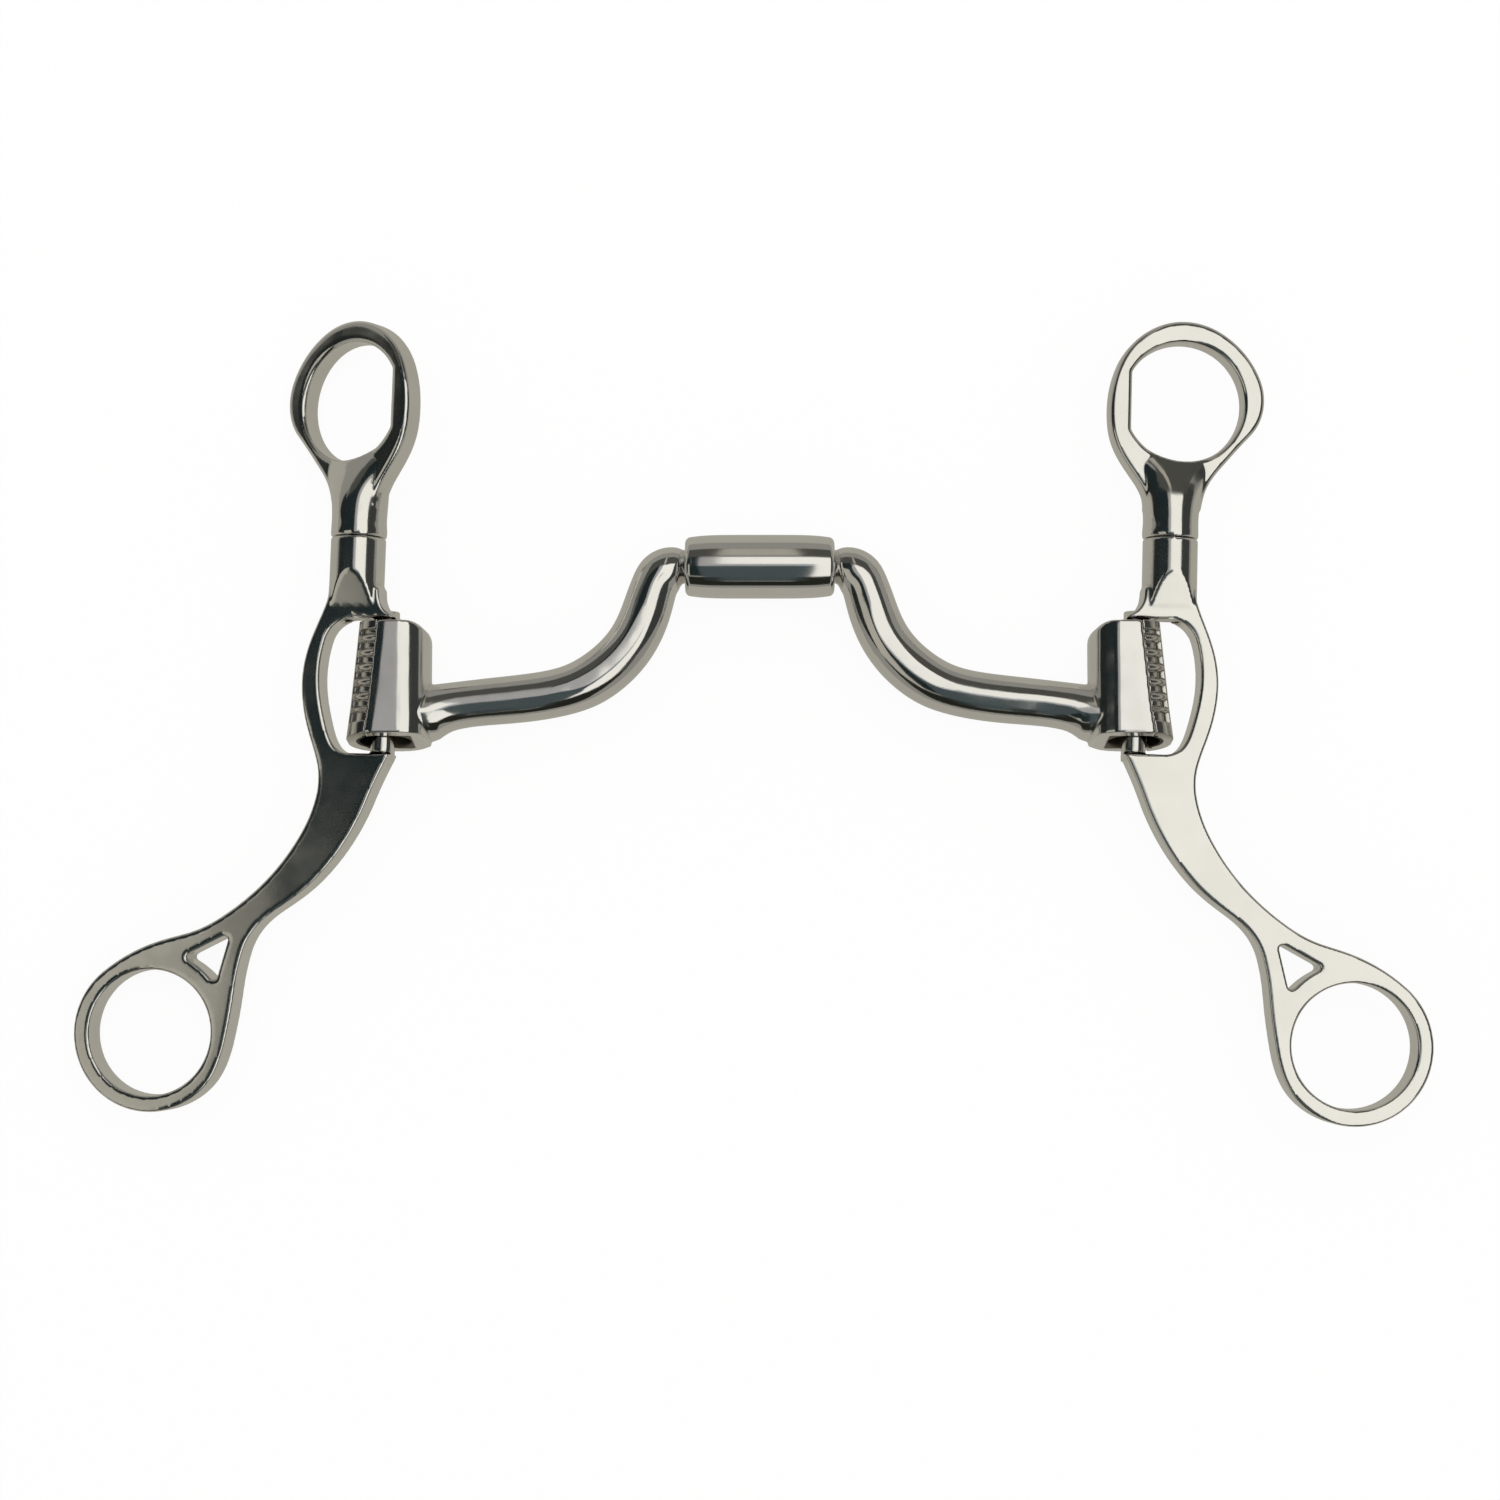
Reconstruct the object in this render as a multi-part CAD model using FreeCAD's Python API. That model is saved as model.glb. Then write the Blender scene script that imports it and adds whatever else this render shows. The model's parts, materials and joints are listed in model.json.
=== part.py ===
import FreeCAD, Part

import math
import os

os.makedirs("parts", exist_ok=True)

# A loose-cheek curb bit lying flat. X runs across the mouth, Y towards the headstall rings and
# Z up from the table. Each side is drawn as the right-hand one, measured from the middle of its
# hinge bar with X outward, and the left-hand side is its mirror image. All sizes in millimetres.

# Overall sizes
mouth_width = 126.6
port_rise = 27.5
rein_reach = 43.0
rein_drop = 67.8
headstall_rise = 55.3

# How the parts lie on the table, in degrees: out-of-plane swing, in-plane rock, ring swivel
left_swing = 7.5
right_swing = 1.5
left_rock = 1.7
right_rock = -1.7
left_swivel = 25.0
right_swivel = 2.5

# Clearances, and how closely tangent arcs follow the drawn curves
running_gap = 0.05
swivel_gap = 0.15
roller_end_gap = 0.4
curve_fit = 0.05

# Cheek plate, hinge bar and loop
plate_thickness = 6.5
edge_round = 0.5
bar_diameter = 4.7
loop_top = 12.95
loop_bottom = -13.2
loop_reach = 12.3
branch_width = 3.45

# Rein ring and the three-cornered cut-out above it
rein_hole_radius = 12.05
rein_rim = 3.15
cutout_wall = 3.8
cutout_corner = 0.7

# Swivel column, headstall ring and the pin that joins them
column_diameter = 10.6
column_offset = 6.4
column_top = 28.6
facet_start = 15.3
facet_end = 22.0
headstall_hole_radius = 11.65
headstall_flat = 10.2
headstall_shift = 1.8
headstall_thickness = 4.9
headstall_round = 1.0
neck_length = 5.6
pin_diameter = 4.0
pin_head_diameter = 5.8
pin_head_rim = 0.5
pin_grip = 9.5

# Sleeve that turns on the hinge bar, and its ribbed closing strip
sleeve_height = 24.4
sleeve_depth = 13.6
sleeve_inner_face = 8.9
sleeve_outer_top = 4.8
sleeve_outer_bottom = 7.2
sleeve_mouth_round = 6.0
sleeve_outer_round = 5.6
sleeve_shoulder_round = 4.5
hollow_mouth_side = 5.2
hollow_outer_top = 3.1
hollow_outer_bottom = 4.8
hollow_width_top = 7.2
hollow_width_bottom = 8.2
strip_width = 4.0
rib_count = 6
rib_pitch = 2.8
rib_radius = 0.72
rib_top = 8.8
pocket_depth = 0.8
pocket_top = 10.5
pocket_bottom = -8.6
pocket_start = 3.3

# Mouthpiece arms, roller and axle
arm_radius = 4.55
bend_radius = 23.0
elbow_radius = 5.6
arm_drop = 4.3
bend_x = 26.5
elbow_x = 19.2
roller_length = 28.8
roller_radius = 6.15
roller_crown = 0.45
roller_end_round = 1.3
stub_radius = 3.2
stub_length = 10.0
axle_radius = 1.75
axle_tip_inset = 1.0
groove_radius = 1.1
groove_length = 1.6
dowel_radius = 0.7

bar_radius = bar_diameter / 2
column_radius = column_diameter / 2
half_plate = plate_thickness / 2
bar_x = mouth_width / 2 + sleeve_inner_face
sleeve_top = sleeve_height / 2
sleeve_bottom = -sleeve_height / 2
rein_outer_radius = rein_hole_radius + rein_rim
through = 60.0


def point(x, y, z=0.0):
    return FreeCAD.Vector(x, y, z)


def polar(center_x, center_y, radius, degrees):
    angle = math.radians(degrees)
    return point(center_x + radius * math.cos(angle), center_y + radius * math.sin(angle))


def smooth_curve(points, start=None, end=None):
    curve = Part.BSplineCurve()
    if start is None and end is None:
        curve.interpolate(Points=points)
    else:
        curve.interpolate(Points=points, InitialTangent=start, FinalTangent=end)
    return [arc.toShape() for arc in curve.toBiArcs(curve_fit)]


def line(a, b):
    return Part.makeLine(a, b)


def prism(edges, bottom, top):
    wire = Part.Wire(Part.__sortEdges__(edges))
    face = Part.Face(wire)
    solid = face.extrude(point(0, 0, top - bottom))
    solid.translate(point(0, 0, bottom))
    return solid


def polygon_prism(points, bottom, top):
    face = Part.Face(Part.makePolygon(points + [points[0]]))
    solid = face.extrude(point(0, 0, top - bottom))
    solid.translate(point(0, 0, bottom))
    return solid


def rounded_path(points, radii):
    edges = []
    start = points[0]
    for index in range(1, len(points) - 1):
        corner = points[index]
        to_last = (points[index - 1] - corner).normalize()
        to_next = (points[index + 1] - corner).normalize()
        half_angle = to_last.getAngle(to_next) / 2
        setback = radii[index - 1] / math.tan(half_angle)
        center_gap = radii[index - 1] / math.sin(half_angle)
        bisector = (to_last + to_next).normalize()
        enter = corner + to_last * setback
        leave = corner + to_next * setback
        middle = corner + bisector * (center_gap - radii[index - 1])
        edges.append(line(start, enter))
        edges.append(Part.Arc(enter, middle, leave).toShape())
        start = leave
    edges.append(line(start, points[-1]))
    return edges


def shank_point(across, down):
    return point(rein_reach * across, rein_drop * down)


def y_cylinder(radius, x, low, high):
    return Part.makeCylinder(radius, high - low, point(x, low, 0), point(0, 1, 0))


def x_cylinder(radius, low, high):
    return Part.makeCylinder(radius, high - low, point(low, 0, 0), point(1, 0, 0))


# ---------------------------------------------------------------- cheek


def plate_outline():
    outer_reach = loop_reach + branch_width
    column_side = column_offset + column_radius
    outer_points = [
        point(column_side - 0.5, facet_end - 3.0),
        point(column_side - 0.25, loop_top + 3.1),
        point(outer_reach - 2.9, loop_top - 0.6),
        point(outer_reach - 1.35, 8.3),
        point(outer_reach - 0.25, 3.9),
        point(outer_reach, 0.2),
        point(outer_reach - 0.35, -4.2),
        point(outer_reach - 1.5, -8.8),
        point(outer_reach - 3.0, loop_bottom),
        shank_point(0.273, -0.255),
        shank_point(0.284, -0.329),
        shank_point(0.333, -0.413),
        shank_point(0.423, -0.506),
        shank_point(0.530, -0.584),
        shank_point(0.658, -0.652),
        shank_point(0.800, -0.705),
        shank_point(0.990, -0.743),
    ]
    ring_points = [
        polar(rein_reach, -rein_drop, rein_outer_radius, 57 - 20 * step) for step in range(11)
    ]
    inner_points = [
        shank_point(0.639, -0.985),
        shank_point(0.619, -0.900),
        shank_point(0.607, -0.830),
        shank_point(0.588, -0.773),
        shank_point(0.556, -0.720),
        shank_point(0.503, -0.677),
        shank_point(0.430, -0.640),
        shank_point(0.337, -0.597),
        shank_point(0.245, -0.541),
        shank_point(0.146, -0.457),
        shank_point(0.068, -0.367),
        shank_point(0.010, -0.277),
        shank_point(-0.026, -0.228),
        point(-bar_radius, loop_bottom + 0.4),
    ]
    top_left = point(column_offset - column_radius, facet_end - 3.0)
    shoulder = [
        point(-bar_radius, loop_top - 0.3),
        point(-bar_radius + 1.9, loop_top + 1.4),
        point(column_offset - column_radius - 0.2, loop_top + 3.6),
        top_left,
    ]
    return [
        line(top_left, outer_points[0]),
        *smooth_curve(outer_points + ring_points + inner_points),
        line(inner_points[-1], shoulder[0]),
        *smooth_curve(shoulder, point(0.3, 1), point(0, 1)),
    ]


def loop_opening():
    top_left = point(0, loop_top)
    bottom_left = point(0, loop_bottom)
    rim = [
        point(0.46 * loop_reach, loop_top),
        point(0.59 * loop_reach, 0.985 * loop_top),
        point(0.73 * loop_reach, 0.925 * loop_top),
        point(0.88 * loop_reach, 0.750 * loop_top),
        point(0.97 * loop_reach, 0.494 * loop_top),
        point(loop_reach, 0.20 * loop_top),
        point(0.99 * loop_reach, 0.04 * loop_bottom),
        point(0.95 * loop_reach, 0.28 * loop_bottom),
        point(0.88 * loop_reach, 0.55 * loop_bottom),
        point(0.79 * loop_reach, 0.79 * loop_bottom),
        point(0.69 * loop_reach, 0.925 * loop_bottom),
        point(0.57 * loop_reach, 0.985 * loop_bottom),
        point(0.46 * loop_reach, loop_bottom),
    ]
    edges = [
        line(bottom_left, top_left),
        line(top_left, rim[0]),
        *smooth_curve(rim),
        line(rim[-1], bottom_left),
    ]
    return prism(edges, -through, through)


def bar_gap():
    low = point(-bar_diameter, loop_bottom, -through)
    return Part.makeBox(bar_diameter + 0.1, loop_top - loop_bottom, 2 * through, low)


def rounded_triangle():
    gap_radius = rein_hole_radius + cutout_wall
    low = polar(rein_reach, -rein_drop, gap_radius, 142.5)
    high = polar(rein_reach, -rein_drop, gap_radius, 112.0)
    middle = polar(rein_reach, -rein_drop, gap_radius, 127.0)
    apex = shank_point(0.649, -0.712)
    edges = [line(low, apex), line(apex, high), Part.Arc(high, middle, low).toShape()]
    solid = prism(edges, -through, through)
    corners = [edge for edge in solid.Edges if abs(edge.tangentAt(edge.FirstParameter).z) > 0.99]
    return solid.makeFillet(cutout_corner, corners)


def rim_edges(solid, height):
    flat = []
    for edge in solid.Edges:
        box = edge.BoundBox
        if abs(abs(box.ZMin) - height) < 1e-4 and box.ZLength < 1e-4:
            flat.append(edge)
    return flat


def column_side_profile(reach):
    points = [
        point(facet_start - reach, half_plate),
        point(facet_start, half_plate),
        point(facet_end, column_radius),
        point(column_top, column_radius),
        point(column_top, -column_radius),
        point(facet_end, -column_radius),
        point(facet_start, -half_plate),
        point(facet_start - reach, -half_plate),
    ]
    profile = polygon_prism(points, -through, through)
    swap = FreeCAD.Matrix(0, 0, 1, 0, 1, 0, 0, 0, 0, 1, 0, 0, 0, 0, 0, 1)
    return profile.transformGeometry(swap)


def swivel_pin():
    seat = loop_top
    shank_radius = pin_diameter / 2
    head_radius = pin_head_diameter / 2
    cone_top = seat + pin_head_rim + head_radius - shank_radius
    tip = column_top + swivel_gap + pin_grip
    outline = [
        point(0, seat),
        point(head_radius, seat),
        point(head_radius, seat + pin_head_rim),
        point(shank_radius, cone_top),
        point(shank_radius, tip),
        point(0, tip),
    ]
    face = Part.Face(Part.makePolygon(outline + [outline[0]]))
    pin = face.revolve(point(0, 0), point(0, 1, 0), 360)
    pin.translate(point(column_offset, 0))
    return pin


def pin_seat():
    shank_radius = pin_diameter / 2 + running_gap
    head_radius = pin_head_diameter / 2 + running_gap
    seat = loop_top
    cone_top = seat + pin_head_rim + swivel_gap + head_radius - shank_radius
    outline = [
        point(0, seat - 2),
        point(head_radius, seat - 2),
        point(head_radius, seat + pin_head_rim + swivel_gap),
        point(shank_radius, cone_top),
        point(shank_radius, column_top + 1),
        point(0, column_top + 1),
    ]
    face = Part.Face(Part.makePolygon(outline + [outline[0]]))
    seat_tool = face.revolve(point(0, 0), point(0, 1, 0), 360)
    seat_tool.translate(point(column_offset, 0))
    return seat_tool


def shank():
    plate = prism(plate_outline(), -half_plate, half_plate)
    plate = plate.cut(loop_opening())
    rein_hole = Part.makeCylinder(
        rein_hole_radius, 2 * through, point(rein_reach, -rein_drop, -through)
    )
    plate = plate.cut(rein_hole)
    plate = plate.cut(rounded_triangle())
    plate = plate.makeFillet(edge_round, rim_edges(plate, half_plate))
    plate = plate.cut(bar_gap())
    column = y_cylinder(column_radius, column_offset, loop_top + 0.4, column_top)
    column = column.common(column_side_profile(facet_start))
    bar = y_cylinder(bar_radius, 0, loop_bottom - 1.5, loop_top + 1.5)
    solid = plate.fuse([column, bar]).removeSplitter()
    return solid.cut(pin_seat())


def headstall_outline():
    base = column_top + neck_length + swivel_gap
    points = [
        point(-5.4, base),
        point(-5.9, headstall_rise - 17.6),
        point(-7.5, headstall_rise - 15.1),
        point(-10.1, headstall_rise - 11.4),
        point(-12.1, headstall_rise - 7.2),
        point(-12.7, headstall_rise - 3.3),
        point(-12.5, headstall_rise + 1.5),
        point(-11.4, headstall_rise + 6.2),
        point(-8.2, headstall_rise + 11.4),
        point(-3.4, headstall_rise + 14.8),
        point(2.1, headstall_rise + 15.9),
        point(7.7, headstall_rise + 14.6),
        point(12.8, headstall_rise + 11.0),
        point(16.3, headstall_rise + 6.1),
        point(17.6, headstall_rise + 1.0),
        point(16.8, headstall_rise - 3.2),
        point(14.5, headstall_rise - 6.6),
        point(11.8, headstall_rise - 9.6),
        point(9.0, headstall_rise - 13.0),
        point(7.0, headstall_rise - 15.8),
        point(6.2, headstall_rise - 17.8),
        point(5.5, base),
    ]
    return [line(points[-1], points[0]), *smooth_curve(points)]


def headstall_hole():
    radius = headstall_hole_radius
    rise = math.sqrt(radius * radius - headstall_flat * headstall_flat)
    upper = point(headstall_shift - headstall_flat, headstall_rise + rise)
    lower = point(headstall_shift - headstall_flat, headstall_rise - rise)
    far = point(headstall_shift + radius, headstall_rise)
    return prism([line(lower, upper), Part.Arc(upper, far, lower).toShape()], -through, through)


def flare_section(level, middle, half_width, half_depth):
    ring = Part.Ellipse(point(0, 0), half_width, half_depth)
    wire = Part.Wire(ring.toShape())
    wire.rotate(point(0, 0), point(1, 0, 0), -90)
    wire.translate(point(middle, level, 0))
    return wire


def headstall_ring():
    half = headstall_thickness / 2
    ring = prism(headstall_outline(), -half, half)
    ring = ring.cut(headstall_hole())
    ring = ring.makeFillet(headstall_round, rim_edges(ring, half))
    foot = column_top + swivel_gap
    neck_end = foot + neck_length
    neck = Part.makeLoft(
        [
            flare_section(foot, 0, column_radius + 0.001, column_radius),
            flare_section(foot + neck_length / 2, 0, column_radius + 0.03, column_radius),
            flare_section(neck_end, 0, column_radius + 0.16, column_radius - 0.02),
            flare_section(neck_end + 2.0, 0.05, column_radius + 0.45, column_radius - 0.15),
            flare_section(headstall_rise - 16.6, 0.15, 6.4, 4.65),
            flare_section(headstall_rise - 14.3, 0.1, 7.6, 3.9),
            flare_section(headstall_rise - 11.8, -0.1, 9.2, 3.1),
            flare_section(headstall_rise - 9.6, -0.1, 10.4, half - 0.25),
        ],
        True,
        False,
    )
    solid = ring.fuse(neck.cut(headstall_hole()))
    solid = solid.cut(y_cylinder(pin_diameter / 2, 0, foot - 1, foot + pin_grip))
    solid.translate(point(column_offset, 0))
    return solid


# ---------------------------------------------------------------- mouthpiece


def sleeve_outer_x(level):
    share = (level - sleeve_bottom) / sleeve_height
    return sleeve_outer_bottom + (sleeve_outer_top - sleeve_outer_bottom) * share


def sleeve_wire(level, inset):
    low_x = -sleeve_inner_face + inset
    high_x = sleeve_outer_x(level) - inset
    half = sleeve_depth / 2 - inset
    mouth_round = sleeve_mouth_round - inset
    outer_round = sleeve_outer_round - inset
    mouth_c = low_x + mouth_round
    outer_c = high_x - outer_round
    diagonal = math.sqrt(0.5)

    def at(x, z):
        return point(x, level, z)

    edges = [
        line(at(low_x, half - mouth_round), at(low_x, mouth_round - half)),
        Part.Arc(
            at(low_x, mouth_round - half),
            at(mouth_c - mouth_round * diagonal, mouth_round - half - mouth_round * diagonal),
            at(mouth_c, -half),
        ).toShape(),
        line(at(mouth_c, -half), at(outer_c, -half)),
        Part.Arc(
            at(outer_c, -half),
            at(outer_c + outer_round * diagonal, outer_round - half - outer_round * diagonal),
            at(high_x, outer_round - half),
        ).toShape(),
        line(at(high_x, outer_round - half), at(high_x, half - outer_round)),
        Part.Arc(
            at(high_x, half - outer_round),
            at(outer_c + outer_round * diagonal, half - outer_round + outer_round * diagonal),
            at(outer_c, half),
        ).toShape(),
        line(at(outer_c, half), at(mouth_c, half)),
        Part.Arc(
            at(mouth_c, half),
            at(mouth_c - mouth_round * diagonal, half - mouth_round + mouth_round * diagonal),
            at(low_x, half - mouth_round),
        ).toShape(),
    ]
    return Part.Wire(edges)


def sleeve_block(inset):
    return Part.makeLoft(
        [sleeve_wire(sleeve_bottom, inset), sleeve_wire(sleeve_top, inset)], True, True
    )


def hollow_wire(level, outer_x, width):
    half = width / 2
    low_c = -hollow_mouth_side + half
    high_c = outer_x - half

    def at(x, z):
        return point(x, level, z)

    return Part.Wire(
        [
            line(at(low_c, -half), at(high_c, -half)),
            Part.Arc(at(high_c, -half), at(outer_x, 0), at(high_c, half)).toShape(),
            line(at(high_c, half), at(low_c, half)),
            Part.Arc(at(low_c, half), at(-hollow_mouth_side, 0), at(low_c, -half)).toShape(),
        ]
    )


def sleeve_hollow():
    slope = (hollow_outer_bottom - hollow_outer_top) / sleeve_height
    narrowing = (hollow_width_bottom - hollow_width_top) / sleeve_height
    over = 2.0
    return Part.makeLoft(
        [
            hollow_wire(
                sleeve_bottom - over,
                hollow_outer_bottom + slope * over,
                hollow_width_bottom + narrowing * over,
            ),
            hollow_wire(
                sleeve_top + over,
                hollow_outer_top - slope * over,
                hollow_width_top - narrowing * over,
            ),
        ],
        True,
        True,
    )


def shoulder_corner():
    radius = sleeve_shoulder_round
    corner = Part.makeBox(
        radius + 1,
        radius + 1,
        2 * through,
        point(-sleeve_inner_face - 1, sleeve_top - radius, -through),
    )
    post = Part.makeCylinder(
        radius,
        2 * through,
        point(-sleeve_inner_face + radius, sleeve_top - radius, -through),
    )
    return corner.cut(post)


def strip_region():
    reach = 2.0
    low = sleeve_bottom - reach
    high = sleeve_top + reach
    points = [
        point(sleeve_outer_x(low) - strip_width, low),
        point(sleeve_outer_x(low) + sleeve_depth, low),
        point(sleeve_outer_x(high) + sleeve_depth, high),
        point(sleeve_outer_x(high) - strip_width, high),
    ]
    return polygon_prism(points, -through, through)


def sleeve():
    solid = sleeve_block(0).cut(strip_region())
    return solid.cut(shoulder_corner())


def rib(level, side):
    sweep = 70
    center_z = (sleeve_depth / 2 - sleeve_outer_round) * side
    center_x = sleeve_outer_x(level) - sleeve_outer_round
    major = sleeve_outer_round - rib_radius - 0.05
    ring = Part.makeTorus(
        major, rib_radius, point(0, 0), point(0, 0, 1), -180, 180, sweep
    )
    ring.rotate(point(0, 0), point(0, 0, 1), 12)
    ring.rotate(point(0, 0), point(1, 0, 0), 90 * side)
    ring.translate(point(center_x, level, center_z))
    return ring


def sleeve_strip():
    shell = sleeve_block(0).common(strip_region())
    for side in (1, -1):
        band = Part.makeBox(through, pocket_top - pocket_bottom, through)
        band.translate(point(0, pocket_bottom, pocket_start))
        if side < 0:
            band = band.mirror(point(0, 0), point(0, 0, 1))
        shell = shell.cut(band.cut(sleeve_block(pocket_depth)))
        ribs = [rib(rib_top - rib_pitch * index, side) for index in range(rib_count)]
        shell = shell.fuse([piece.common(strip_region()) for piece in ribs])
    return shell.cut(sleeve_hollow())


def arm_section(center, tangent, half_height, half_depth):
    if abs(half_height - half_depth) < 1e-6:
        ring = Part.Circle(point(0, 0), point(0, 0, 1), half_height).toShape()
    else:
        ring = Part.Ellipse(point(0, 0), half_height, half_depth).toShape()
    side = point(0, 0, 1).cross(tangent)
    turn = FreeCAD.Matrix(
        side.x, 0, tangent.x, center.x,
        side.y, 0, tangent.y, center.y,
        side.z, 1, tangent.z, center.z,
        0, 0, 0, 1,
    )
    wire = Part.Wire(ring)
    wire.Placement = FreeCAD.Placement(turn)
    return wire


def arm_bar():
    roller_y = port_rise - arm_drop
    neck_x = roller_length / 2 + roller_end_gap
    root_x = bar_x - hollow_mouth_side - 0.25
    lean = arm_drop / (mouth_width / 2 - bend_x)
    path = [
        point(root_x, -lean * (root_x - bend_x)),
        point(bend_x, 0),
        point(elbow_x, roller_y),
        point(neck_x, roller_y),
    ]
    corner = path[2] - path[1]
    elbow_room = path[2].x - path[3].x
    half_turn = corner.getAngle(path[2] - path[3]) / 2
    elbow = min(elbow_radius, 0.95 * elbow_room / math.tan(math.pi / 2 - half_turn))
    leg_one, bend, leg_two, turn, leg_three = rounded_path(path, [bend_radius, elbow])
    sections = []

    def add(edge, share, half_height, half_depth, lower=0.0):
        at = edge.FirstParameter + (edge.LastParameter - edge.FirstParameter) * share
        tangent = edge.tangentAt(at)
        side = point(0, 0, 1).cross(tangent)
        center = edge.valueAt(at) - side * lower * (1 if side.y > 0 else -1)
        sections.append(arm_section(center, tangent, half_height, half_depth))

    flare = 9.4 / leg_one.Length
    add(leg_one, 0.0, arm_radius + 1.45, arm_radius + 0.75, 1.45)
    add(leg_one, 0.27 * flare, arm_radius + 1.30, arm_radius + 0.60, 1.30)
    add(leg_one, 0.50 * flare, arm_radius + 0.72, arm_radius + 0.30, 0.72)
    add(leg_one, 0.75 * flare, arm_radius + 0.17, arm_radius + 0.08, 0.17)
    add(leg_one, flare, arm_radius, arm_radius)
    add(leg_one, 1.6 * flare, arm_radius, arm_radius)
    add(leg_one, 1.0, arm_radius + 0.10, arm_radius + 0.10)
    add(bend, 0.30, arm_radius + 0.27, arm_radius + 0.27)
    add(bend, 0.65, arm_radius + 0.30, arm_radius + 0.30)
    add(leg_two, 0.0, arm_radius + 0.22, arm_radius + 0.22)
    add(leg_two, 0.7, arm_radius + 0.08, arm_radius + 0.08)
    add(turn, 0.25, arm_radius + 0.02, arm_radius + 0.02)
    add(turn, 0.60, arm_radius - 0.1, arm_radius - 0.1)
    add(turn, 0.92, stub_radius + 0.55, stub_radius + 0.55)
    add(leg_three, 1.0, stub_radius, stub_radius)
    return Part.makeLoft(sections, True, False)


def mouth_arm(axle_fit):
    roller_y = port_rise - arm_drop
    neck_x = roller_length / 2 + roller_end_gap
    stub_tip = roller_length / 2 - stub_length
    stub = x_cylinder(stub_radius, stub_tip, neck_x)
    stub.translate(point(0, roller_y))
    block = sleeve()
    block.translate(point(bar_x, 0))
    hollow = sleeve_hollow()
    hollow.translate(point(bar_x, 0))
    solid = arm_bar().fuse([block, stub])
    solid = solid.cut(hollow)
    bore = x_cylinder(axle_radius + axle_fit, stub_tip - 1, axle_end() + swivel_gap)
    bore.translate(point(0, roller_y))
    return solid.cut(bore)


def axle_end():
    return roller_length / 2 - axle_tip_inset


def dowel_x():
    return roller_length / 2 - stub_length / 2


def cross_dowel(offset, half_length, radius):
    rod = Part.makeCylinder(radius, 2 * half_length, point(0, 0, -half_length))
    rod.translate(point(dowel_x(), port_rise - arm_drop + offset))
    return rod


def dowel_offset():
    return groove_radius + dowel_radius + 0.1


def fixing_dowel():
    reach = math.sqrt(stub_radius ** 2 - dowel_radius ** 2) - 0.05
    return cross_dowel(0, reach, dowel_radius)


def retaining_dowel():
    edge = dowel_offset() + dowel_radius
    reach = math.sqrt(stub_radius ** 2 - edge ** 2) - 0.05
    return cross_dowel(dowel_offset(), reach, dowel_radius)


def right_mouth_arm():
    slot = cross_dowel(dowel_offset(), through, dowel_radius)
    return mouth_arm(running_gap).cut(slot)


def left_mouth_arm():
    return mouth_arm(0).cut(cross_dowel(0, through, dowel_radius))


def axle():
    roller_y = port_rise - arm_drop
    rod = x_cylinder(axle_radius, -axle_end(), axle_end())
    outside = x_cylinder(2 * axle_radius, dowel_x() - groove_length / 2, dowel_x() + groove_length / 2)
    inside = x_cylinder(groove_radius, dowel_x() - groove_length, dowel_x() + groove_length)
    rod = rod.cut(outside.cut(inside))
    rod.translate(point(0, roller_y))
    hole = cross_dowel(0, through, dowel_radius).mirror(point(0, 0), point(1, 0, 0))
    return rod.cut(hole)


def roller():
    half = roller_length / 2
    end_radius = roller_radius - roller_crown
    round_end = roller_end_round
    bore = stub_radius + running_gap + 0.02
    crown = Part.Arc(
        point(-half + round_end, end_radius),
        point(0, roller_radius),
        point(half - round_end, end_radius),
    ).toShape()
    diagonal = round_end * math.sqrt(0.5)

    def end_arc(side):
        center_x = side * (half - round_end)
        center_y = end_radius - round_end
        return Part.Arc(
            point(center_x, end_radius),
            point(center_x + side * diagonal, center_y + diagonal),
            point(side * half, center_y),
        ).toShape()

    edges = [
        crown,
        end_arc(1),
        line(point(half, end_radius - round_end), point(half, bore)),
        line(point(half, bore), point(-half, bore)),
        line(point(-half, bore), point(-half, end_radius - round_end)),
        end_arc(-1),
    ]
    face = Part.Face(Part.Wire(Part.__sortEdges__(edges)))
    solid = face.revolve(point(0, 0), point(1, 0, 0), 360)
    solid.translate(point(0, port_rise - arm_drop))
    return solid


# ---------------------------------------------------------------- assembly


def hang_cheek(solid, swing, rock):
    placed = solid.copy()
    placed.rotate(point(0, 0), point(0, 1, 0), swing)
    placed.rotate(point(0, 0), point(0, 0, 1), rock)
    placed.translate(point(bar_x, 0))
    return placed


def turn_ring(solid, swivel):
    turned = solid.copy()
    turned.rotate(point(column_offset, 0), point(0, 1, 0), swivel)
    return turned


def mirrored(solid):
    return solid.mirror(point(0, 0), point(1, 0, 0))


def right_strip():
    solid = sleeve_strip()
    solid.translate(point(bar_x, 0))
    return solid


def build_parts():
    cheek = shank()
    ring = headstall_ring()
    pin = swivel_pin()
    strip = right_strip()
    return {
        "right_shank": hang_cheek(cheek, right_swing, right_rock),
        "left_shank": mirrored(hang_cheek(cheek, left_swing, left_rock)),
        "right_headstall_ring": hang_cheek(turn_ring(ring, right_swivel), right_swing, right_rock),
        "left_headstall_ring": mirrored(
            hang_cheek(turn_ring(ring, left_swivel), left_swing, left_rock)
        ),
        "right_swivel_pin": hang_cheek(pin, right_swing, right_rock),
        "left_swivel_pin": mirrored(hang_cheek(pin, left_swing, left_rock)),
        "right_mouth_arm": right_mouth_arm(),
        "left_mouth_arm": mirrored(left_mouth_arm()),
        "right_sleeve_strip": strip,
        "left_sleeve_strip": mirrored(strip),
        "centre_roller": roller(),
        "roller_axle": axle(),
        "axle_fixing_dowel": mirrored(fixing_dowel()),
        "axle_retaining_dowel": retaining_dowel(),
    }


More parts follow.
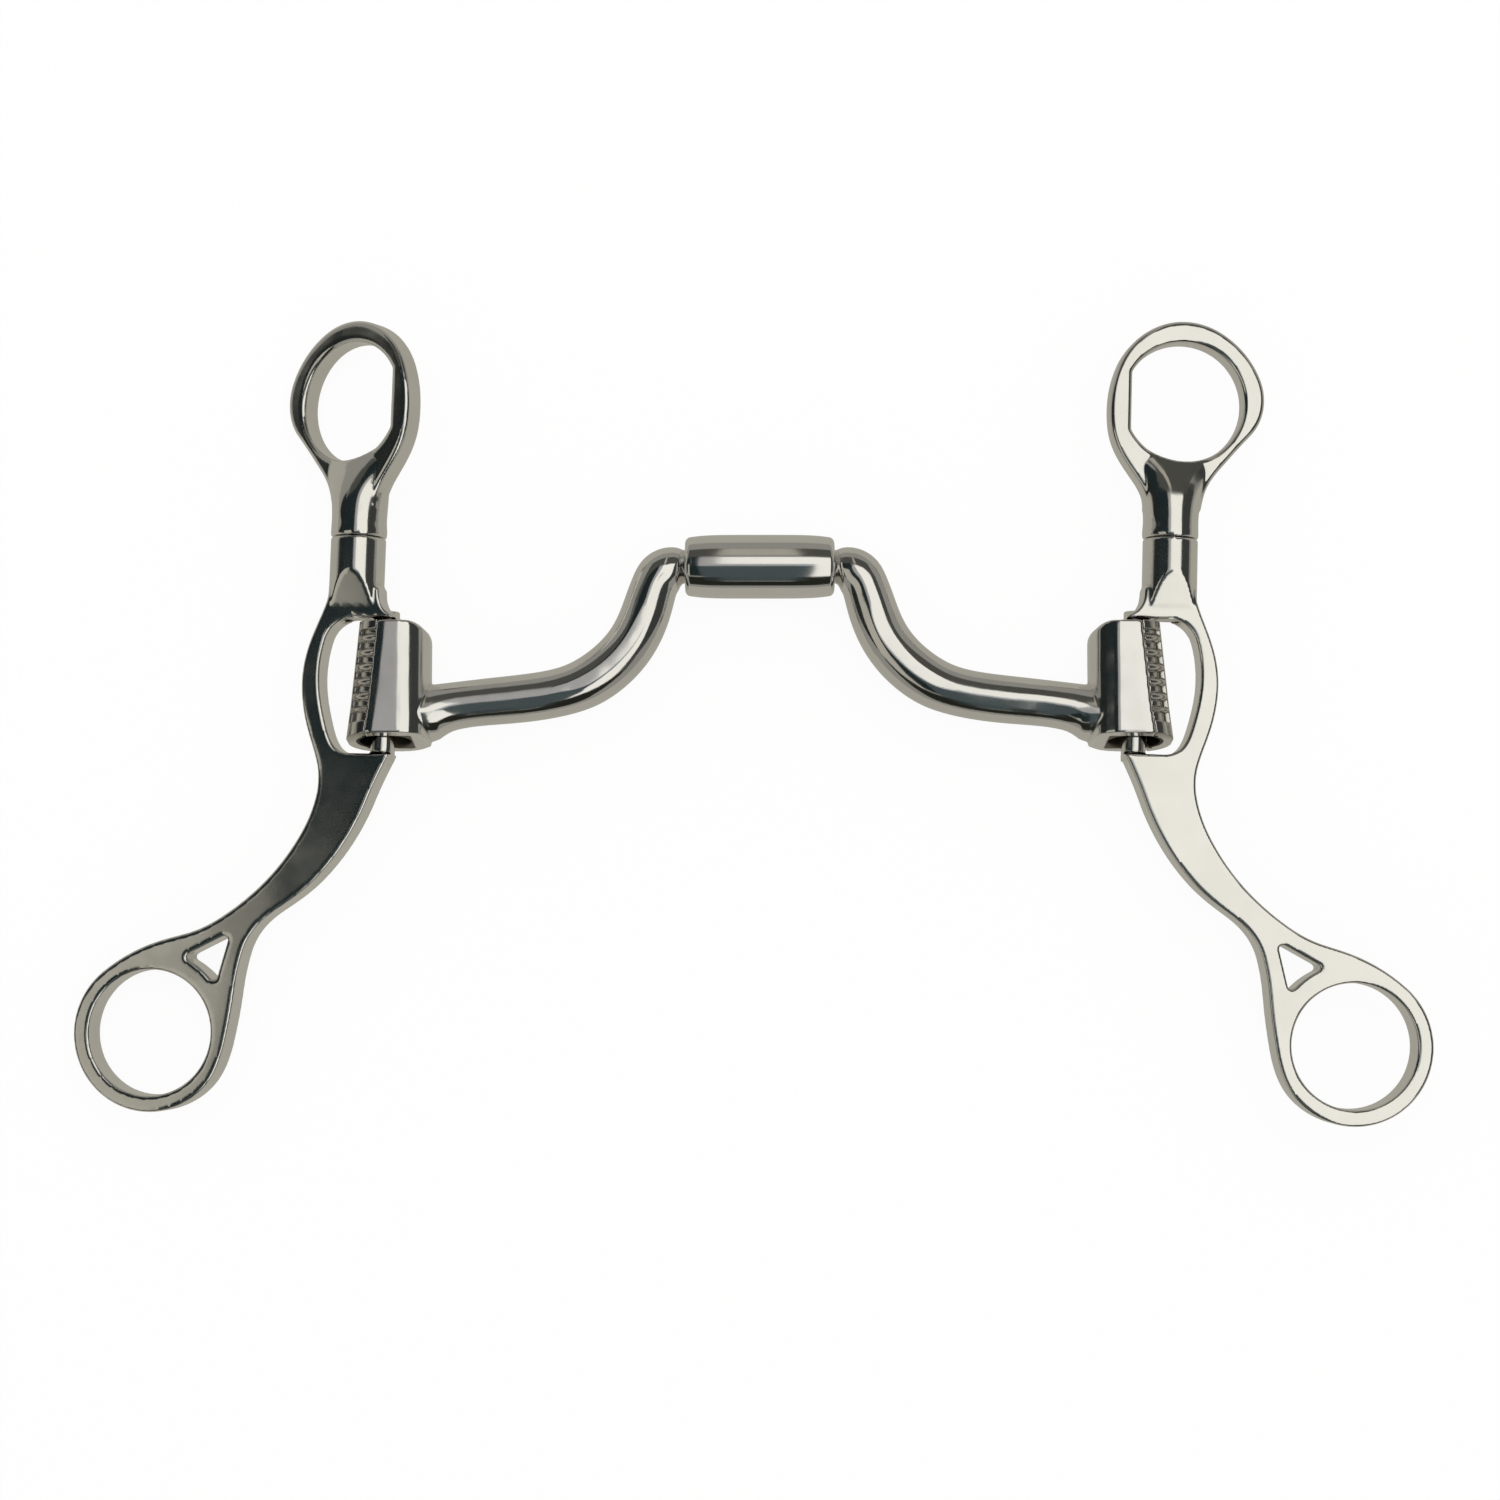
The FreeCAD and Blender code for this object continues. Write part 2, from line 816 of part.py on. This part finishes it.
parts = build_parts()
box = Part.makeCompound(list(parts.values())).optimalBoundingBox(True, False)
to_table = point(-(box.XMin + box.XMax) / 2, -(box.YMin + box.YMax) / 2, -box.ZMin)
for name, solid in parts.items():
    solid.translate(to_table)
    solid.exportStep("parts/" + name + ".step")
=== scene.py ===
import json
import math

import bmesh
import bpy
import numpy as np
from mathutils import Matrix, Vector


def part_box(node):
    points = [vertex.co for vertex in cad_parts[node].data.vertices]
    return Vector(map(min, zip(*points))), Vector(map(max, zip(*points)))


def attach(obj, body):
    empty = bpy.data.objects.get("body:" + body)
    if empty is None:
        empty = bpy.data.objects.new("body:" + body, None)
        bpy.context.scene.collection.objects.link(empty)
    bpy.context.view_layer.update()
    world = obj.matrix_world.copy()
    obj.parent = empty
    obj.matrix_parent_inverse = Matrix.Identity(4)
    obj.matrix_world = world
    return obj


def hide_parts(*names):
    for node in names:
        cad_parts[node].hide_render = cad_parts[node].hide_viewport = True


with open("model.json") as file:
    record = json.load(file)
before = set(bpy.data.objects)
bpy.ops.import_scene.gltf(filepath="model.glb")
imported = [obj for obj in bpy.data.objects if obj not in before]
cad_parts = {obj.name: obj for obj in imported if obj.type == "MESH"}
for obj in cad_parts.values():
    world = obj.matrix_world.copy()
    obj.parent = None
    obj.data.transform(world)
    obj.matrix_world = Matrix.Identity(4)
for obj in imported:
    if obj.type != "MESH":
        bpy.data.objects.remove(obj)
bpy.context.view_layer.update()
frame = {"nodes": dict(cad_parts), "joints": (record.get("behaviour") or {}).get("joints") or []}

MM = 0.001
CARD_DISTANCE = 3.0
HOLLOW_HALF_WIDTH = 5.6 * MM
HOLLOW_HALF_HEIGHT = 4.35 * MM
ARM_FLAT_HEIGHT = 4.7 * MM
ARM_FLAT_REACH = 60 * MM
MIDDLE_X = sum(corner.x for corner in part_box("centre_roller")) / 2
MIDDLE_Z = sum(corner.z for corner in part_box("centre_roller")) / 2


# ------------------------------------------------------------------ materials


def hex_colour(code):
    """An sRGB hex value as linear red, green, blue and alpha."""
    parts = [int(code[i:i + 2], 16) / 255 for i in (1, 3, 5)]
    linear = [p / 12.92 if p <= 0.04045 else ((p + 0.055) / 1.055) ** 2.4 for p in parts]
    return (*linear, 1.0)


def add(tree, kind, settings=None, inputs=None, links=None):
    """Adds one node: its settings, its socket values and what is linked into it."""
    node = tree.nodes.new(kind)
    for name, value in (settings or {}).items():
        setattr(node, name, value)
    for name, value in (inputs or {}).items():
        node.inputs[name].default_value = value
    for name, source in (links or {}).items():
        tree.links.new(source, node.inputs[name])
    return node


def new_material(name):
    material = bpy.data.materials.new(name)
    material.use_nodes = True
    material.node_tree.nodes.clear()
    return material, material.node_tree


def per_mm(size):
    """A noise scale whose features are about this many millimetres across."""
    return 1 / (size * MM)


def polished_stainless(name, colour, tint, tarnish_and_shade_colour, roughness, spread, wave, wave_depth, grain_depth):
    """Cast stainless steel, ground and buffed by hand: a mirror that wavers where the wheel
    leant harder, fine wheel lines that soften what it reflects, and dull metal in the
    recesses that the wheel can't reach, darkened there with painted shade and tarnish."""
    material, tree = new_material(name)
    place = add(tree, "ShaderNodeTexCoord").outputs["Object"]
    patches = add(
        tree, "ShaderNodeTexNoise",
        inputs={"Scale": per_mm(9.0), "Detail": 3.0, "Roughness": 0.55},
        links={"Vector": place},
    )
    waves = add(
        tree, "ShaderNodeTexNoise",
        inputs={"Scale": per_mm(wave), "Detail": 1.0, "Roughness": 0.4},
        links={"Vector": place},
    )
    grain = add(
        tree, "ShaderNodeTexNoise",
        inputs={"Scale": per_mm(0.35), "Detail": 2.0, "Roughness": 0.6},
        links={"Vector": place},
    )
    metal = add(
        tree, "ShaderNodeMix", {"data_type": "RGBA"},
        links={"Factor": patches.outputs["Fac"]},
    )
    metal.inputs["A"].default_value = hex_colour(colour)
    metal.inputs["B"].default_value = hex_colour(tint)
    rough = add(
        tree, "ShaderNodeMapRange",
        inputs={
            "From Min": 0.3,
            "From Max": 0.7,
            "To Min": roughness - spread,
            "To Max": roughness + spread,
        },
        links={"Value": patches.outputs["Fac"]},
    )
    # The recess mark mixes in the third colour, which is painted shade with some tarnish in the hollows, and
    # makes the metal duller there.
    recess_tarnish_and_shade = add(tree, "ShaderNodeAttribute", {"attribute_name": "recess_tarnish_and_shade"}).outputs["Fac"]
    tarnish_and_shade_mix = add(
        tree, "ShaderNodeMix", {"data_type": "RGBA"},
        links={"Factor": recess_tarnish_and_shade, "A": metal.outputs["Result"]},
    )
    tarnish_and_shade_mix.inputs["B"].default_value = hex_colour(tarnish_and_shade_colour)
    dulled = add(
        tree, "ShaderNodeMix",
        inputs={"B": 0.45},
        links={"Factor": recess_tarnish_and_shade, "A": rough.outputs["Result"]},
    )
    swell = add(
        tree, "ShaderNodeBump",
        inputs={"Strength": 1.0, "Distance": wave_depth * MM},
        links={"Height": waves.outputs["Fac"]},
    )
    lines = add(
        tree, "ShaderNodeBump",
        inputs={"Strength": 1.0, "Distance": grain_depth * MM},
        links={"Height": grain.outputs["Fac"], "Normal": swell.outputs["Normal"]},
    )
    shader = add(
        tree, "ShaderNodeBsdfPrincipled",
        inputs={"Metallic": 1.0},
        links={
            "Base Color": tarnish_and_shade_mix.outputs["Result"],
            "Roughness": dulled.outputs["Result"],
            "Normal": lines.outputs["Normal"],
        },
    )
    add(tree, "ShaderNodeOutputMaterial", links={"Surface": shader.outputs["BSDF"]})
    return material


# ------------------------------------------------------------------ pieces


def link_object(name, mesh):
    piece = bpy.data.objects.new(name, mesh)
    bpy.context.scene.collection.objects.link(piece)
    return piece


def merged_copy(node, name):
    """A welded copy of a CAD node's mesh."""
    mesh = frame["nodes"][node].data.copy()
    shape = bmesh.new()
    shape.from_mesh(mesh)
    bmesh.ops.remove_doubles(shape, verts=shape.verts, dist=0.002 * MM)
    shape.to_mesh(mesh)
    shape.free()
    mesh.materials.clear()
    return link_object(name, mesh)


def apply_modifiers(piece):
    bpy.context.view_layer.update()
    graph = bpy.context.evaluated_depsgraph_get()
    mesh = bpy.data.meshes.new_from_object(piece.evaluated_get(graph))
    piece.modifiers.clear()
    piece.data = mesh


def smooth_faces(piece):
    for face in piece.data.polygons:
        face.use_smooth = True


def buffed_copy(node, name, voxel, passes):
    """A CAD node made again as one even skin, with its edges eased as a buffing wheel does."""
    piece = merged_copy(node, name)
    skin = piece.modifiers.new("skin", "REMESH")
    skin.mode = "VOXEL"
    skin.voxel_size = voxel * MM
    ease = piece.modifiers.new("ease", "SMOOTH")
    ease.factor = 0.5
    ease.iterations = passes
    apply_modifiers(piece)
    smooth_faces(piece)
    return piece


def points_of(mesh):
    flat = np.empty(len(mesh.vertices) * 3)
    mesh.vertices.foreach_get("co", flat)
    return flat.reshape(-1, 3)


def mark_shade_and_tarnish_depth(piece, passes, depth):
    """Marks how far each point lies below its surroundings, up to the given depth: the mask for painted
    shade and tarnish in the recesses.
    """
    normals = np.empty(len(piece.data.vertices) * 3)
    piece.data.vertices.foreach_get("normal", normals)
    surface = points_of(piece.data)
    level = link_object("levelled", piece.data.copy())
    ease = level.modifiers.new("level", "SMOOTH")
    ease.factor = 0.5
    ease.iterations = passes
    apply_modifiers(level)
    below = ((points_of(level.data) - surface) * normals.reshape(-1, 3)).sum(axis=1)
    bpy.data.objects.remove(level)
    # Deeper points get more painted shade and tarnish, and duller metal.
    mark = piece.data.attributes.new("recess_tarnish_and_shade", "FLOAT", "POINT")
    mark.data.foreach_set("value", np.clip(below / (depth * MM), 0, 1))


def turned_roller():
    """The centre roller: a straight barrel that falls away to rounded ends, with a plain bore."""
    low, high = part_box("centre_roller")
    half = (high.x - low.x) / 2
    radius = (high.z - low.z) / 2
    axis = (low + high) / 2
    bore = 3.27 * MM
    fall = 0.42 * MM
    corner = 1.2 * MM
    profile = [(-half + 0.5 * MM, bore), (-half, bore + 0.5 * MM)]
    profile += [
        (-half + corner * (1 - math.cos(math.radians(7.5 * step))),
         radius - fall - corner + corner * math.sin(math.radians(7.5 * step)))
        for step in range(13)
    ]
    for step in range(1, 40):
        across = (-half + corner) * (1 - step / 40)
        profile.append((across, radius - fall * (abs(across) / (half - corner)) ** 5))
    profile += [(-x, r) for x, r in reversed(profile)]
    shape = bmesh.new()
    ring = [shape.verts.new((axis.x + x, axis.y, axis.z + r)) for x, r in profile]
    edges = [shape.edges.new((ring[i], ring[i - 1])) for i in range(len(ring))]
    bmesh.ops.spin(
        shape, geom=ring + edges, cent=axis, axis=(1, 0, 0), angle=2 * math.pi, steps=160,
        use_merge=True, use_duplicate=False,
    )
    bmesh.ops.remove_doubles(shape, verts=shape.verts, dist=0.005 * MM)
    bmesh.ops.recalc_face_normals(shape, faces=shape.faces)
    mesh = bpy.data.meshes.new("crowned_roller")
    shape.to_mesh(mesh)
    shape.free()
    barrel = link_object("crowned_roller", mesh)
    smooth_faces(barrel)
    return barrel


def paint_hollow_shade(piece, bar_x):
    """Marks the unpolished inside of the sleeve, the faces that look at the hinge bar, as fully recessed,
    which paints shade into the hollow and dulls it.
    """
    values = [0.0] * len(piece.data.vertices)
    piece.data.attributes["recess_tarnish_and_shade"].data.foreach_get("value", values)
    for vertex in piece.data.vertices:
        across = vertex.co.x - bar_x
        over = vertex.co.z - MIDDLE_Z
        if abs(across) < HOLLOW_HALF_WIDTH and abs(over) < HOLLOW_HALF_HEIGHT:
            if vertex.normal.x * across + vertex.normal.z * over < 0:
                # painted shade: these faces take the full dark recess colour
                values[vertex.index] = 1.0
    piece.data.attributes["recess_tarnish_and_shade"].data.foreach_set("value", values)


def cut_sleeve_foot(piece):
    """Cuts the sleeve's lower end on a slant, so that its hollow opens towards the front."""
    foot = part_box("left_sleeve_strip")[0].y
    for vertex in piece.data.vertices:
        along = min(1.0, max(0.0, (foot + 8 * MM - vertex.co.y) / (8 * MM)))
        outward = min(1.0, max(0.0, (abs(vertex.co.x - MIDDLE_X) - 61.5 * MM) / (3 * MM)))
        front = 0.5 + 0.5 * (vertex.co.z - MIDDLE_Z) / (6.8 * MM)
        vertex.co.y += 2.8 * MM * along * outward * front


def flatten_top(piece, height, inner_x):
    """Grinds a long flat along the top of an arm, fading out where the arm meets its sleeve."""
    for vertex in piece.data.vertices:
        over = vertex.co.z - (MIDDLE_Z + height)
        reach = abs(vertex.co.x - MIDDLE_X)
        if over > 0 and reach < inner_x:
            share = min(1.0, (inner_x - reach) / (4 * MM))
            vertex.co.z -= 0.9 * share * over


def finish_piece(piece, body, node, material):
    piece.data.materials.clear()
    piece.data.materials.append(material)
    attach(piece, body)
    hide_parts(node)


# Each finish's third colour is painted shade with tarnish, used in its recesses.
arm_steel = polished_stainless(
    "polished cast stainless, arms", "#f0efed", "#e6e4e1", "#6b655b", 0.11, 0.04, 7.0, 0.11, 0.0010)
shank_steel = polished_stainless(
    "satin polished stainless, shanks", "#f0efec", "#e8e6e2", "#5e584e", 0.12, 0.03, 12.0, 0.04, 0.0010)
ring_steel = polished_stainless(
    "polished cast stainless, rings", "#f0efec", "#e6e4e0", "#5e584e", 0.11, 0.04, 8.0, 0.08, 0.0010)
roller_steel = polished_stainless(
    "turned and buffed stainless, roller", "#f1f0ee", "#eae8e5", "#5e584e", 0.10, 0.03, 14.0, 0.02, 0.0010)
# The strip's near-black recess colour is painted shade between the ribs, with some tarnish.
strip_steel = polished_stainless(
    "ribbed stainless, painted shade and tarnish in its recesses", "#e9e7e3", "#d2cfc9", "#2a2824", 0.16, 0.05, 2.5, 0.04, 0.0015)
pin_steel = polished_stainless(
    "drawn stainless, pins", "#d8d6d3", "#cdcac6", "#5e584e", 0.25, 0.04, 6.0, 0.01, 0.0015)

for side in ("left", "right"):
    joint = next(j for j in frame["joints"] if j["name"] == side + "_cheek_swing")
    bar_x = joint["pos_m"][0]
    shank = buffed_copy(side + "_shank", side + "_cheek_shank", 0.30, 4)
    mark_shade_and_tarnish_depth(shank, 30, 0.5)
    finish_piece(shank, side + "_cheek", side + "_shank", shank_steel)
    ring = buffed_copy(side + "_headstall_ring", side + "_strap_ring", 0.22, 8)
    mark_shade_and_tarnish_depth(ring, 30, 0.6)
    finish_piece(ring, side + "_ring", side + "_headstall_ring", ring_steel)
    arm = buffed_copy(side + "_mouth_arm", side + "_bent_arm", 0.26, 10)
    mark_shade_and_tarnish_depth(arm, 40, 0.7)
    paint_hollow_shade(arm, bar_x)
    flatten_top(arm, ARM_FLAT_HEIGHT, ARM_FLAT_REACH)
    cut_sleeve_foot(arm)
    finish_piece(arm, side + "_half", side + "_mouth_arm", arm_steel)
    strip = buffed_copy(side + "_sleeve_strip", side + "_ribbed_strip", 0.13, 3)
    mark_shade_and_tarnish_depth(strip, 60, 0.24)
    paint_hollow_shade(strip, bar_x)
    cut_sleeve_foot(strip)
    finish_piece(strip, side + "_half", side + "_sleeve_strip", strip_steel)

barrel = turned_roller()
finish_piece(barrel, "roller", "centre_roller", roller_steel)

for name in (
    "left_swivel_pin", "right_swivel_pin", "roller_axle", "axle_fixing_dowel", "axle_retaining_dowel",
):
    node = frame["nodes"][name]
    node.data.materials.clear()
    node.data.materials.append(pin_steel)


# ------------------------------------------------------------------ studio


def glow_material(name, colour):
    material, tree = new_material(name)
    glow = add(tree, "ShaderNodeEmission", inputs={"Color": hex_colour(colour), "Strength": 1.0})
    add(tree, "ShaderNodeOutputMaterial", links={"Surface": glow.outputs["Emission"]})
    return material


def studio_floor():
    """A pale seamless table. It is white to the camera, and warm grey in the metal."""
    shape = bmesh.new()
    bmesh.ops.create_grid(shape, x_segments=1, y_segments=1, size=4.0)
    bmesh.ops.translate(shape, verts=shape.verts, vec=(0, 0, -0.05 * MM))
    mesh = bpy.data.meshes.new("table")
    shape.to_mesh(mesh)
    shape.free()
    table = link_object("studio_table", mesh)
    material, tree = new_material("pale table paper")
    path = add(tree, "ShaderNodeLightPath")
    paper = add(tree, "ShaderNodeBsdfDiffuse", inputs={"Color": hex_colour("#f4f4f2")})
    white = add(tree, "ShaderNodeEmission", inputs={"Color": hex_colour("#ffffff"), "Strength": 1.0})
    warm = add(tree, "ShaderNodeEmission", inputs={"Color": hex_colour("#aba89e"), "Strength": 1.0})
    seen = add(tree, "ShaderNodeMixShader", inputs={"Fac": 0.93},
               links={1: paper.outputs["BSDF"], 2: white.outputs["Emission"]})
    camera_mix = add(
        tree, "ShaderNodeMixShader",
        links={"Fac": path.outputs["Is Camera Ray"], 1: paper.outputs["BSDF"], 2: seen.outputs["Shader"]},
    )
    glossy_mix = add(
        tree, "ShaderNodeMixShader",
        links={
            "Fac": path.outputs["Is Glossy Ray"],
            1: camera_mix.outputs["Shader"],
            2: warm.outputs["Emission"],
        },
    )
    add(tree, "ShaderNodeOutputMaterial", links={"Surface": glossy_mix.outputs["Shader"]})
    mesh.materials.append(material)


def studio_card(name, across, along, colour):
    """A card that only shows in the metal. across and along are the card's edges as angles from
    straight up, in degrees: to the right, and towards the headstall rings."""
    shape = bmesh.new()
    bmesh.ops.create_grid(shape, x_segments=1, y_segments=1, size=0.5)
    left, right, low, high = (
        CARD_DISTANCE * math.tan(math.radians(angle)) for angle in (*across, *along)
    )
    bmesh.ops.scale(shape, verts=shape.verts, vec=(right - left, high - low, 1))
    middle = ((left + right) / 2, (low + high) / 2, CARD_DISTANCE)
    bmesh.ops.translate(shape, verts=shape.verts, vec=middle)
    mesh = bpy.data.meshes.new(name)
    shape.to_mesh(mesh)
    shape.free()
    mesh.materials.append(glow_material(name, colour))
    card = link_object(name, mesh)
    card.visible_camera = False
    card.visible_diffuse = False
    card.visible_shadow = False
    card.visible_transmission = False


def studio_world():
    world = bpy.data.worlds.new("studio")
    bpy.context.scene.world = world
    world.use_nodes = True
    tree = world.node_tree
    tree.nodes.clear()
    path = add(tree, "ShaderNodeLightPath")
    soft = add(tree, "ShaderNodeBackground", inputs={"Color": hex_colour("#e9e9e8"), "Strength": 0.9})
    white = add(tree, "ShaderNodeBackground", inputs={"Color": hex_colour("#ffffff"), "Strength": 1.0})
    room = add(tree, "ShaderNodeBackground", inputs={"Color": hex_colour("#8f8e88"), "Strength": 1.0})
    seen = add(
        tree, "ShaderNodeMixShader",
        links={
            "Fac": path.outputs["Is Camera Ray"],
            1: soft.outputs["Background"],
            2: white.outputs["Background"],
        },
    )
    shown = add(
        tree, "ShaderNodeMixShader",
        links={
            "Fac": path.outputs["Is Glossy Ray"],
            1: seen.outputs["Shader"],
            2: room.outputs["Background"],
        },
    )
    add(tree, "ShaderNodeOutputWorld", links={"Surface": shown.outputs["Shader"]})


def soft_light():
    lamp = bpy.data.lights.new("overhead_softbox", "AREA")
    lamp.shape = "SQUARE"
    lamp.size = 1.2
    lamp.energy = 6.0
    holder = bpy.data.objects.new("overhead_softbox", lamp)
    holder.location = (0.1, 0.2, 1.2)
    holder.rotation_euler = (-Vector(holder.location)).to_track_quat("-Z", "Y").to_euler()
    holder.visible_glossy = False
    holder.visible_camera = False
    bpy.context.scene.collection.objects.link(holder)


def place_camera():
    distance = 0.530
    tilt = math.radians(4.0)
    aim = Vector((MIDDLE_X - 1.88 * MM, -5.9 * MM, MIDDLE_Z))
    data = bpy.data.cameras.new("camera")
    data.sensor_width = 36.0
    data.lens = 66.1
    data.clip_start = 0.01
    camera = bpy.data.objects.new("camera", data)
    bpy.context.scene.collection.objects.link(camera)
    camera.location = aim + distance * Vector((0, -math.sin(tilt), math.cos(tilt)))
    camera.rotation_euler = (tilt, 0, 0)
    bpy.context.scene.camera = camera


studio_floor()
studio_world()
soft_light()
for card in (
    ("white_window", (9, 40), (-44, 28), "#fbfaf2"),
    ("white_strip", (-3.2, 9), (3, 28), "#fbfaf2"),
    ("blue_grey_sill", (-3.2, 9), (-4, 3), "#a3a8ab"),
    ("warm_upper_wall", (-4, 4), (36, 60), "#aaa69a"),
    ("dark_upper_left", (-55, -4), (31, 62), "#4c4c48"),
    ("dark_upper_right", (4, 55), (31, 62), "#4c4c48"),
    ("dark_camera_side", (-13, 9), (-60, -4), "#464f51"),
    ("grey_wall", (-13, -3.2), (-4, 26), "#a5a5a4"),
    ("dark_left_flag", (-26.9, -13), (-42, 3.5), "#1b2526"),
    ("dark_left_upper_flag", (-57, -13), (3.5, 31), "#20282a"),
    ("warm_left_wall", (-57, -26.9), (-46, 3.5), "#b0ada2"),
    ("dark_far_left", (-84, -57), (-45, 45), "#222624"),
    ("dark_far_right", (40, 80), (-45, 45), "#3a3c3a"),
    ("dark_front_left", (-57, -4), (-80, -46), "#24251f"),
    ("dark_front_middle", (-4, 4), (-80, -62), "#24251f"),
    ("dark_front_right", (4, 57), (-80, -46), "#24251f"),
):
    studio_card(*card)
place_camera()
bpy.context.scene.view_settings.view_transform = "Standard"
